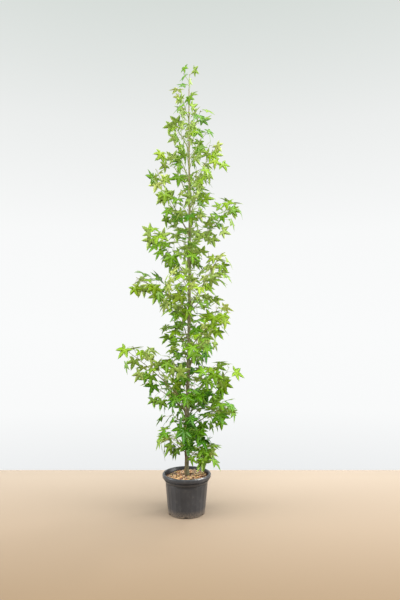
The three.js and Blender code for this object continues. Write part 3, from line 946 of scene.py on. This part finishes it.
def make_twigs(limbs, sprays, mass_nodes):
    heap, buds = Heap(), Heap()
    draw = seeded(SEED.twigs)

    def add_stem(curve, ts, radii, stem, mark):
        heap.add(*tube(crooked(at(curve, ts), radii, draw, stem.crook), radii, stem.sides), mark)

    def add_side_stem(curve, radii, stem, mark, size):
        """A straight stem with a bud at its end."""
        add_stem(curve, np.linspace(0, 1, stem.rings), np.linspace(*radii, stem.rings), stem, mark)
        buds.add(*bud(curve[2], unit(curve[2] - curve[0]), *size))

    for limb in limbs:
        rings = max(STEM.fewest_rings, int(limb.length / STEM.ring_every))
        ts = np.linspace(max(0.0, limb.bare_share - STEM.sunk), 1, rings)
        young = int(limb.foot > YOUNG_HEIGHT)
        add_stem(limb.curve, ts, limb_radius(limb, ts) * mix(1, STEM.thinning, ts), STEM, young)
        buds.add(*bud(limb.curve[2], tangent(limb.curve, 1), *LIMB_BUD))
        for twig in limb.twigs:
            add_side_stem(twig, (TWIG.radius, TWIG_STEM.tip), TWIG_STEM, young, TWIG_BUD)
    for spray in sprays:
        for leaf in spray:
            end = leaf.root + leaf.petiole * (FINE.spur + SPUR_STEM.over)
            spur = np.linspace(leaf.root, end, len(SPUR_STEM.radii))
            heap.add(*tube(spur, SPUR_STEM.radii, SPUR_STEM.sides), 1)
            if leaf.shoot is not None:
                add_side_stem(leaf.shoot, SHOOT_STEM.radii, SHOOT_STEM, 1, SHOOT_BUD)
    heap.piece("twigs", [plain_finish("twig_brown"), plain_finish("twig_green")], "bark", mass_nodes)
    buds.piece("buds", [plain_finish("bud_brown")], "bark", mass_nodes)


# ---- trunk and boughs

BARK = Record(
    sides=36, step=7, sunk=12, ridge=0.75, ridges=2.4, along=0.028, fine_ridge=0.45, fine_along=0.09,
    scar=0.8, scar_every=61, scar_at=20, scar_height=2.6, flute=2.2, flutes=3, flute_height=26, foot=60,
    foot_rings=14, end=2, end_share=0.75,
)
COLLAR = Record(size=2.4, height=12, over=3, reach=2.5)
BOUGH = Record(start=0.02, rings=16, sides=14, ridge=0.4, collar=1.7, collar_length=13)
# Left side, darker as painted shade, right side, lighter as painted light, fissures and pale corky specks.
BARK_TINTS = ((100, 84, 56), (124, 121, 96), (62, 52, 36), (168, 161, 134))
BOUGH_TINTS = ((106, 97, 60), (120, 116, 76), (74, 65, 42), (158, 151, 112))
# Bark turns from old and brown to young and green with its height.
YOUNG = Record(per_metre=0.3, tint=(158, 150, 104), stops=((0.25, 0), (0.75, 0.8)))


def rough(angles, reach, z, seed):
    """Noise round a limb at one height, for each angle."""
    spots = (Vector((reach * math.cos(a), reach * math.sin(a), z + seed)) for a in angles)
    return np.array([noise.noise(spot) for spot in spots])


def make_trunk(limbs):
    low, high = TRUNK_FOOT + BARK.foot, TRUNK.top - BARK.end
    foot = np.linspace(TRUNK_FOOT - BARK.sunk, low, BARK.foot_rings)
    heights = np.concatenate([foot[:-1], np.arange(low, high, BARK.step), [high, TRUNK.top]])
    radii = trunk_radius(np.maximum(heights, TRUNK_FOOT))
    radii[-1] *= BARK.end_share

    def relief(i, angles):
        """Ridges, leaf scars, flutes over the roots, and a collar round each limb."""
        z, radius = heights[i], radii[i]
        coarse = rough(angles, BARK.ridges, z * BARK.along, 0)
        fine = rough(angles, 3 * BARK.ridges, z * BARK.fine_along, 50)
        total = BARK.ridge * (radius / TRUNK.radius_low) ** 0.7 * coarse
        total += BARK.fine_ridge * BARK.ridge * fine
        scar = (z % BARK.scar_every - BARK.scar_at) / BARK.scar_height
        total += BARK.scar * math.exp(-(scar**2)) * min(1, radius / 9)
        fade = math.exp(-(z - TRUNK_FOOT) / BARK.flute_height)
        total += BARK.flute * fade * np.cos(BARK.flutes * angles + 0.8)
        for limb in limbs:
            near = (z - limb.foot - COLLAR.over) / COLLAR.height
            if abs(near) < COLLAR.reach and limb.name != "crown_tip":
                facing = np.clip(np.cos(angles - math.radians(limb.heading)), 0, 1) ** 2
                total += COLLAR.size * min(1, radius / 8) * math.exp(-(near**2)) * facing
        return total

    heap = Heap()
    heap.add(*tube(trunk_point(heights), radii, BARK.sides, relief))
    heap.piece("bark_trunk", [bark_finish("bark", BARK_TINTS)], "bark", ["trunk"])


def make_boughs(limbs):
    heap = Heap()
    boughs = [limb for limb in limbs if limb.bare_share]
    for limb in boughs:
        ts = np.linspace(BOUGH.start, limb.bare_share, BOUGH.rings)

        def relief(i, angles, ts=ts, limb=limb):
            z = ts[i] * limb.length
            bumps = BOUGH.ridge * rough(angles, BARK.ridges, z * 0.06, limb.foot)
            return bumps + BOUGH.collar * math.exp(-z / BOUGH.collar_length)

        heap.add(*tube(at(limb.curve, ts), limb_radius(limb, ts), BOUGH.sides, relief))
    names = [limb.name.replace("leaves", "bough") for limb in boughs]
    heap.piece("bark_boughs", [bark_finish("bough_bark", BOUGH_TINTS)], "bark", names)


def bark_finish(name, tints):
    """Brown bark on its left and grey on its right, the left darker as painted shade, with upright fissures
    and level rows of pale corky specks.
    """
    brown, grey, fissure, speck = tints
    made = finish(name, 0.82, 0.25)
    # Painted shade: the tone goes from dark brown on the left side to lit grey on the right, with random
    # patches over it.
    turn = made.times(made.axis("X"), 28, 0.1)
    side_shade_and_patches = made.times(turn, 1, made.patches(22, 4, (1, 1, 0.35)), clamp=True)
    lines = made.patches(190, 4, (1, 1, 0.16), 0.65)
    specks = made.cells(150, (1, 1, 2.6))
    young = made.ramp(made.times(made.axis("Z"), YOUNG.per_metre), *YOUNG.stops)
    base = made.ramp(side_shade_and_patches, (0.3, brown), (0.85, grey))
    base = made.blend(made.ramp(lines, (0.34, 1), (0.48, 0)), base, fissure)
    base = made.blend(made.ramp(specks, (0.12, 1), (0.2, 0)), base, speck)
    made.surface("Base Color", made.blend(young, base, YOUNG.tint))
    made.bump(lines, 0.0022, 0.8)
    return made.owner


# ---- pot

LIP_FOOT = POT.height - POT.lip_height
BODY_TOP = LIP_FOOT - POT.shoulder_height
OPENING = POT.lip_radius - POT.lip_width
SHELL = Record(
    sides=192, shoulder_flare=4, groove_depth=4, groove_height=6.5, out_of_round=0.5, round_foot=40,
    wave=0.006, sharp=38,
)
RIB = Record(count=24, gap=0.6, height=1.3, low=22, low_fade=12, high=5, high_fade=8)
# Shares of a quarter of a metre up the pot, where a painted shade darkens the plastic under the shoulder's
# edge.
LEDGE_SHADE_STOPS = ((0.776, 0), (0.81, 0.85), (0.84, 0.85), (0.852, 0))
# A painted highlight: the top of the lip is made pale within reach of a place at its right front, in metres.
LIP_GLINT = Record(spot=(0.1, -0.125, 0.262), reach=0.062)


def arc(middle, radius, start, end, count):
    """A round stretch of a profile: radius and height, with its angles in degrees."""
    angles = np.radians(np.linspace(start, end, count))
    return [(middle[0] + radius * math.cos(a), middle[1] + radius * math.sin(a)) for a in angles]


def inner_radius(z):
    if z < BODY_TOP:
        return mix(POT.foot_radius, POT.body_radius, z / BODY_TOP) - POT.wall
    return mix(POT.body_radius - POT.wall, OPENING, (z - BODY_TOP) / (POT.height - BODY_TOP))


def pot_profile():
    """The pot's section from the middle of its underside, over its lip, to the middle of its floor."""
    shoulder_low = POT.shoulder_radius - POT.shoulder_taper
    shoulder_high = POT.shoulder_radius + SHELL.shoulder_flare
    shoulder_foot = BODY_TOP + SHELL.groove_height
    groove = LIP_FOOT - SHELL.groove_height
    groove_radius = POT.shoulder_radius - SHELL.groove_depth
    outline = [(0, 0), (POT.foot_radius / 2, 0), (POT.foot_radius - 8, 0)]
    outline += arc((POT.foot_radius - 4, 4), 4, -90, -8, 5)
    for z in np.linspace(12, BODY_TOP - 3, 20):
        outline.append((mix(POT.foot_radius, POT.body_radius, z / BODY_TOP), z))
    outline += [(POT.body_radius - 1.2, BODY_TOP), (POT.body_radius - 1.2, shoulder_foot)]
    outline += arc((shoulder_low - 1, shoulder_foot + 1), 1, -90, 0, 3)
    for share in (0.2, 0.5, 0.8, 1):
        outline.append((mix(shoulder_low, shoulder_high, share), mix(shoulder_foot + 2, groove - 1, share)))
    outline += [(groove_radius, groove), (groove_radius, LIP_FOOT)]
    outline += arc((POT.lip_radius - 5.5, LIP_FOOT + 4), 4, -90, -10, 5)
    outline += arc((POT.lip_radius - 22, LIP_FOOT + 12), 22, -14, 10, 5)
    outline += arc((POT.lip_radius - 8, POT.height - 8), 7.8, 10, 90, 8)
    outline += arc((OPENING + 6, POT.height - 6), 6, 100, 180, 7)
    outline += [(inner_radius(z), z) for z in np.linspace(POT.height - 14, POT.floor + 5, 14)]
    outline += arc((inner_radius(8) - 4, POT.floor + 4), 4, -10, -90, 4)
    return outline + [(POT.foot_radius / 2, POT.floor), (0, POT.floor)]


def rib(angles, z):
    """Shallow upright ribs on the body, which fade out over the foot and under the shoulder."""
    wave = np.clip(np.cos(RIB.count * angles) - RIB.gap, 0, 1) / (1 - RIB.gap)
    over_foot = np.clip((z - RIB.low) / RIB.low_fade, 0, 1)
    under_shoulder = np.clip((BODY_TOP - RIB.high - z) / RIB.high_fade, 0, 1)
    return RIB.height * np.sqrt(wave) * (over_foot * under_shoulder)


def add_mesh(name, points, faces):
    mesh = bpy.data.meshes.new(name)
    mesh.from_pydata([Vector(point) * MM for point in points], [], faces)
    return add_object(name, mesh)


def make_pot():
    profile = pot_profile()
    sides = SHELL.sides
    turn = ring_angles(sides)
    heights = [z for _, z in profile]
    lip_top = heights.index(max(heights))
    points, faces = [(0, 0, 0)], []
    for i, (r, z) in enumerate(profile[1:-1]):
        ribs = rib(turn, z) if i < lip_top else 0
        warp = SHELL.out_of_round * min(1, z / SHELL.round_foot) * rough(turn, 1, z * SHELL.wave, 0)
        radius = r + ribs + warp
        points += list(zip(radius * np.cos(turn), radius * np.sin(turn), np.full(sides, z)))
    points.append((0, 0, POT.floor))
    last = len(points) - 1 - sides
    for k in range(sides):
        after = (k + 1) % sides
        faces.append((0, 1 + after, 1 + k))
        for low in range(1, last, sides):
            faces.append((low + k, low + after, low + sides + after, low + sides + k))
        faces.append((last + k, last + after, len(points) - 1))
    pot = add_mesh("nursery_pot", points, faces)
    cut(pot, drain_cutters())
    pot.data.shade_smooth()
    pot.data.set_sharp_from_angle(angle=math.radians(SHELL.sharp))
    pot.data.materials.append(pot_finish())
    dress(pot, ["pot"])


def drain_cutters():
    """Round-topped notches through the foot, where water runs out."""
    half_width, straight_height, below = DRAIN.width / 2, 0.5 * DRAIN.height, -5
    outline = [(-half_width, below), (half_width, below)]
    for angle in np.radians(np.linspace(0, 180, 11)):
        outline.append((half_width * math.cos(angle), mix(straight_height, DRAIN.height, math.sin(angle))))
    points, faces = [], []
    count = len(outline)
    for i in range(DRAIN.count):
        heading = math.radians(DRAIN.first_heading + 360 * i / DRAIN.count)
        cos, sin = math.cos(heading), math.sin(heading)
        first = len(points)
        for r in (POT.foot_radius - DRAIN.depth / 2, POT.foot_radius + DRAIN.depth / 2):
            points += [(r * cos - y * sin, r * sin + y * cos, z) for y, z in outline]
        faces.append([first + k for k in reversed(range(count))])
        faces.append([first + count + k for k in range(count)])
        for k in range(count):
            after = (k + 1) % count
            faces.append([first + k, first + after, first + count + after, first + count + k])
    return add_mesh("drain_cutters", points, faces)


def cut(piece, cutter):
    """Cuts one object out of another, and removes the cutter."""
    modifier = piece.modifiers.new("cut", "BOOLEAN")
    modifier.operation, modifier.object, modifier.solver = "DIFFERENCE", cutter, "EXACT"
    shaped = piece.evaluated_get(bpy.context.evaluated_depsgraph_get())
    result = bpy.data.meshes.new_from_object(shaped)
    piece.modifiers.clear()
    piece.data = result
    bpy.data.objects.remove(cutter)


def pot_finish():
    """Dark grey plastic of an uneven sheen, with dried soil round its foot, water marks, a painted shade
    under the shoulder's edge and a painted highlight on the top of the lip.
    """
    made = finish("pot_plastic", 0.5, 0.45)
    grain, height = made.patches(160, 5), made.axis("Z")
    splash = made.times(
        made.ramp(made.times(height, 16), (0.1, 1), (0.8, 0)),
        made.ramp(grain, (0.38, 0), (0.6, 1)),
    )
    ledge_shade = made.ramp(made.times(height, 4), *LEDGE_SHADE_STOPS)
    dry = made.times(made.ramp(made.patches(38, 6), (0.56, 0), (0.7, 1)), 0.12)
    apart = made.add("VectorMath", {0: made.place(), 1: LIP_GLINT.spot}, operation="DISTANCE").outputs["Value"]
    near = made.ramp(made.times(apart, 1 / LIP_GLINT.reach), (0.3, 1), (1.0, 0))
    glint_streaks = made.ramp(made.patches(90, 3, (1, 1, 2.5)), (0.44, 0), (0.52, 1))
    lip = made.ramp(made.times(height, 3.6), (0.922, 0), (0.934, 1))
    base = made.ramp(made.patches(9, 4), (0.3, (44, 46, 50)), (0.7, (58, 59, 63)))
    base = made.blend(splash, base, (126, 112, 96))
    # Painted shade: a dark band under the shoulder's edge.
    base = made.blend(ledge_shade, base, (26, 26, 28))
    base = made.blend(dry, base, (128, 122, 114))
    # Painted highlight: pale streaks on the top of the lip at its right front.
    base = made.blend(made.times(made.times(near, glint_streaks), lip), base, (186, 184, 184))
    made.surface("Base Color", base)
    made.surface("Roughness", made.ramp(grain, (0.3, 0.28), (0.7, 0.34)))
    made.bump(made.patches(700, 2), 0.0003, 0.35)
    return made.owner


# ---- soil and mulch

HOLLOW = Record(x=-88, y=66, wide=(40, 40), height=-15)
MOUND = Record(x=55, y=15, wide=(85, 85), height=9)
TAN_SIDE = Record(x=-62, y=-46, wide=(62, 58), height=0.5)
# Lumps by height and width, and a place of their own in the noise.
LUMPS = [(2.6, 23, 4), (1.3, 8, 9)]
GROUND = Record(sides=84, rings=34, sunk=2)
MULCH = Record(
    count=900, lengths=(7, 36), widths=(0.3, 0.65), thicknesses=(1.2, 3.0), wall=9, over_wall=6, lift=0.8,
)
# Each tint of chip, and the number below which a draw picks it.
MULCH_LIMITS = {
    "mulch_tan": 0.16,
    "mulch_red": 0.4,
    "mulch_dark": 0.58,
    "mulch_grey": 0.8,
    "mulch_olive": math.inf,
}
CHIP = Record(sides=7, reach=(0.72, 1.15), tilt=30, roll=44)
SOIL_WALL = inner_radius(SOIL_TOP - SOIL.rise)


def swell(patch, x, y):
    """A soft rise round a place, or a hollow if its height is below 0."""
    wide, deep = patch.wide
    return patch.height * math.exp(-(((x - patch.x) / wide) ** 2) - ((y - patch.y) / deep) ** 2)


def soil_height(x, y):
    """The lie of the mulch: mounded round the trunk, with a hollow by the wall at the left back."""
    edge = min(1, max(0, (math.hypot(x, y) / SOIL_WALL - SOIL.flat_share) / (1 - SOIL.flat_share)))
    lumps = sum(high * noise.noise(Vector((x / wide, y / wide, seed))) for high, wide, seed in LUMPS)
    level = SOIL_TOP - 0.5 * SOIL.rise * edge + swell(HOLLOW, x, y) + swell(MOUND, x, y)
    return level + lumps - GROUND.sunk


def make_soil():
    turn = ring_angles(GROUND.sides)
    rings = []
    for r in np.linspace(0, SOIL_WALL - CLEAR, GROUND.rings)[1:]:
        top = [(r * math.cos(a), r * math.sin(a)) for a in turn]
        rings.append([(x, y, soil_height(x, y)) for x, y in top])
    for z in (BODY_TOP, POT.floor + CLEAR):
        r = inner_radius(z) - CLEAR - 1
        rings.append([(r * math.cos(a), r * math.sin(a), z) for a in turn])
    heap = Heap()
    heap.add(*skin(rings, [(0, 0, soil_height(0, 0)), (0, 0, POT.floor + CLEAR)], inside_out=True))
    heap.piece("potting_soil", [soil_finish()], "soil", ["soil"])


def soil_finish():
    """Brown crumbs, with a painted shade that darkens them to black down the wall of the pot."""
    made = finish("soil", 0.95, 0.15)
    crumbs = made.cells(210)
    stops = (0.3, (64, 46, 36)), (0.52, (104, 78, 58)), (0.72, (156, 124, 94))
    base = made.ramp(made.patches(85, 6), *stops)
    base = made.blend(made.ramp(crumbs, (0.1, 1), (0.4, 0)), base, (134, 104, 78))
    # Painted shade: the soil turns black low down in the pot.
    deep = made.ramp(made.axis("Z"), (0.05, 1), (0.15, 0))
    made.surface("Base Color", made.blend(deep, base, (22, 17, 14)))
    made.bump(crumbs, 0.004, 0.9)
    return made.owner


def chip(draw, point, length, width, thick):
    """A flat, rough-edged chip of bark that lies on the soil."""
    angles = ring_angles(CHIP.sides)
    reach = np.array([mix(*CHIP.reach, draw()) for _ in angles])
    turn = 2 * math.pi * draw()
    tilt, roll = (math.radians(most) * (draw() - 0.5) for most in (CHIP.tilt, CHIP.roll))
    along = np.array([math.cos(turn) * math.cos(tilt), math.sin(turn) * math.cos(tilt), math.sin(tilt)])
    level, steep = across(along)
    side, upwards = swung(level, steep, roll)
    rim = []
    for angle, share in zip(angles, reach):
        curl = thick * (0.5 * math.cos(2 * angle) + 0.4 * draw())
        flat = along * length / 2 * math.cos(angle) - side * width / 2 * math.sin(angle)
        rim.append(point + share * flat + upwards * curl)
    rings = [rim + upwards * thick / 2, rim - upwards * thick / 2]
    return skin(rings, [point + upwards * thick, point - upwards * 0.6 * thick], inside_out=True)


def make_mulch():
    draw = seeded(SEED.mulch)
    heaps = {name: Heap() for name in MULCH_LIMITS}
    reach = SOIL_WALL - MULCH.wall
    for _ in range(MULCH.count):
        r, angle = reach * math.sqrt(draw()), 2 * math.pi * draw()
        x, y = r * math.cos(angle), r * math.sin(angle)
        length = min(mix(*MULCH.lengths, draw() ** 2), 2 * (reach + MULCH.over_wall - r))
        pick = draw() - swell(TAN_SIDE, x, y)
        name = next(name for name, limit in MULCH_LIMITS.items() if pick < limit)
        point = np.array([x, y, soil_height(x, y) + MULCH.lift])
        width, thick = length * mix(*MULCH.widths, draw()), mix(*MULCH.thicknesses, draw())
        shape = chip(draw, point, length, width, thick)
        if r > trunk_radius(TRUNK_FOOT) + length / 2:
            heaps[name].add(*shape)
    for name, heap in heaps.items():
        heap.piece(name, [plain_finish(name)], "soil", ["soil"])


# ---- the object

limbs = all_limbs()
spurs = [make_limb(name, SEED.spurs + i, sizes) for i, (name, sizes, _) in enumerate(spiral_rows(SPURS))]
for limb in limbs:
    limb.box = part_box(limb.name)
for limb in spurs:
    limb.box = None
sites = grow_sites(limbs) + spur_sites(spurs)
space = Space(limbs + spurs)
for limb in limbs:
    for twig in limb.twigs:
        space.add_twig(twig)
sprays = grow_fine_leaves(sites, space)
masses = [limb.name for limb in limbs]
make_leaves(sites, sprays, masses)
make_twigs(limbs + spurs, sprays, masses)
make_trunk(limbs + spurs)
make_boughs(limbs)
make_pot()
make_soil()
make_mulch()

# ---- floor, light and camera, in metres

FLOOR = Record(half_width=6.0, front=-6.0, back=0.96, near=(121, 97, 66), far=(171, 154, 136))
CAMERA = Record(place=(0.0908, -3.2793, 1.2321), pitch=3.645, lens=28.26, sensor=36.0)
# Tones of the studio by height: 0 is straight down, 0.5 level and 1 straight up.
STUDIO_TONES = [
    (0.35, (234, 236, 237)),
    (0.42, (249, 250, 250)),
    (0.5, (250, 251, 251)),
    (0.6, (248, 249, 249)),
    (0.7, (236, 238, 237)),
    (0.8, (214, 220, 216)),
]
# Name, width, power, spread in degrees, place and target.
LIGHTS = [
    ("key", 7.0, 750, 180, (1.0, -1.5, 8.0), (0, 0, 1.0)),
    ("spark", 0.6, 50, 180, (2.6, 2.1, 4.2), (0, 0, 0.4)),
    ("fill_left", 3.2, 84, 100, (-4.7, -1.0, 2.0), (0, 0, 1.1)),
    ("fill_right", 3.2, 74, 100, (4.7, -1.0, 2.0), (0, 0, 1.2)),
]


def make_floor():
    """A plain pale floor, a little deeper in tone towards the front."""
    wide = FLOOR.half_width
    corners = [(-wide, FLOOR.front), (wide, FLOOR.front), (wide, FLOOR.back), (-wide, FLOOR.back)]
    floor = add_mesh("studio_floor", [(x / MM, y / MM, 0) for x, y in corners], [(0, 1, 2, 3)])
    made = finish("floor_pale", 0.75)
    share = made.times(made.axis("Y"), 0.4, 0.6, clamp=True)
    made.surface("Base Color", made.ramp(share, (0.0, FLOOR.near), (0.9, FLOOR.far)))
    floor.data.materials.append(made.owner)


def make_world():
    """An even pale studio, a little darker overhead and towards the floor."""
    world = bpy.data.worlds.new("studio")
    bpy.context.scene.world = world
    made = Nodes(world)
    share = made.times(made.axis("Z", "Generated"), 0.5, 0.5)
    made.plug(made.tree.nodes["Background"].inputs["Color"], made.ramp(share, *STUDIO_TONES))


def add_light(name, width, power, spread, place, target):
    light = bpy.data.lights.new(name, "AREA")
    light.shape, light.size, light.energy, light.spread = "DISK", width, power, math.radians(spread)
    lamp = add_object(name, light)
    lamp.location = place
    lamp.rotation_euler = (Vector(target) - Vector(place)).to_track_quat("-Z", "Y").to_euler()


def make_camera():
    lens = bpy.data.cameras.new("camera")
    lens.lens, lens.sensor_width = CAMERA.lens, CAMERA.sensor
    camera = add_object("camera", lens)
    camera.location = CAMERA.place
    camera.rotation_euler = (math.radians(90 + CAMERA.pitch), 0, 0)
    bpy.context.scene.camera = camera


make_floor()
make_world()
for row in LIGHTS:
    add_light(*row)
make_camera()
bpy.context.scene.view_settings.view_transform = "Standard"
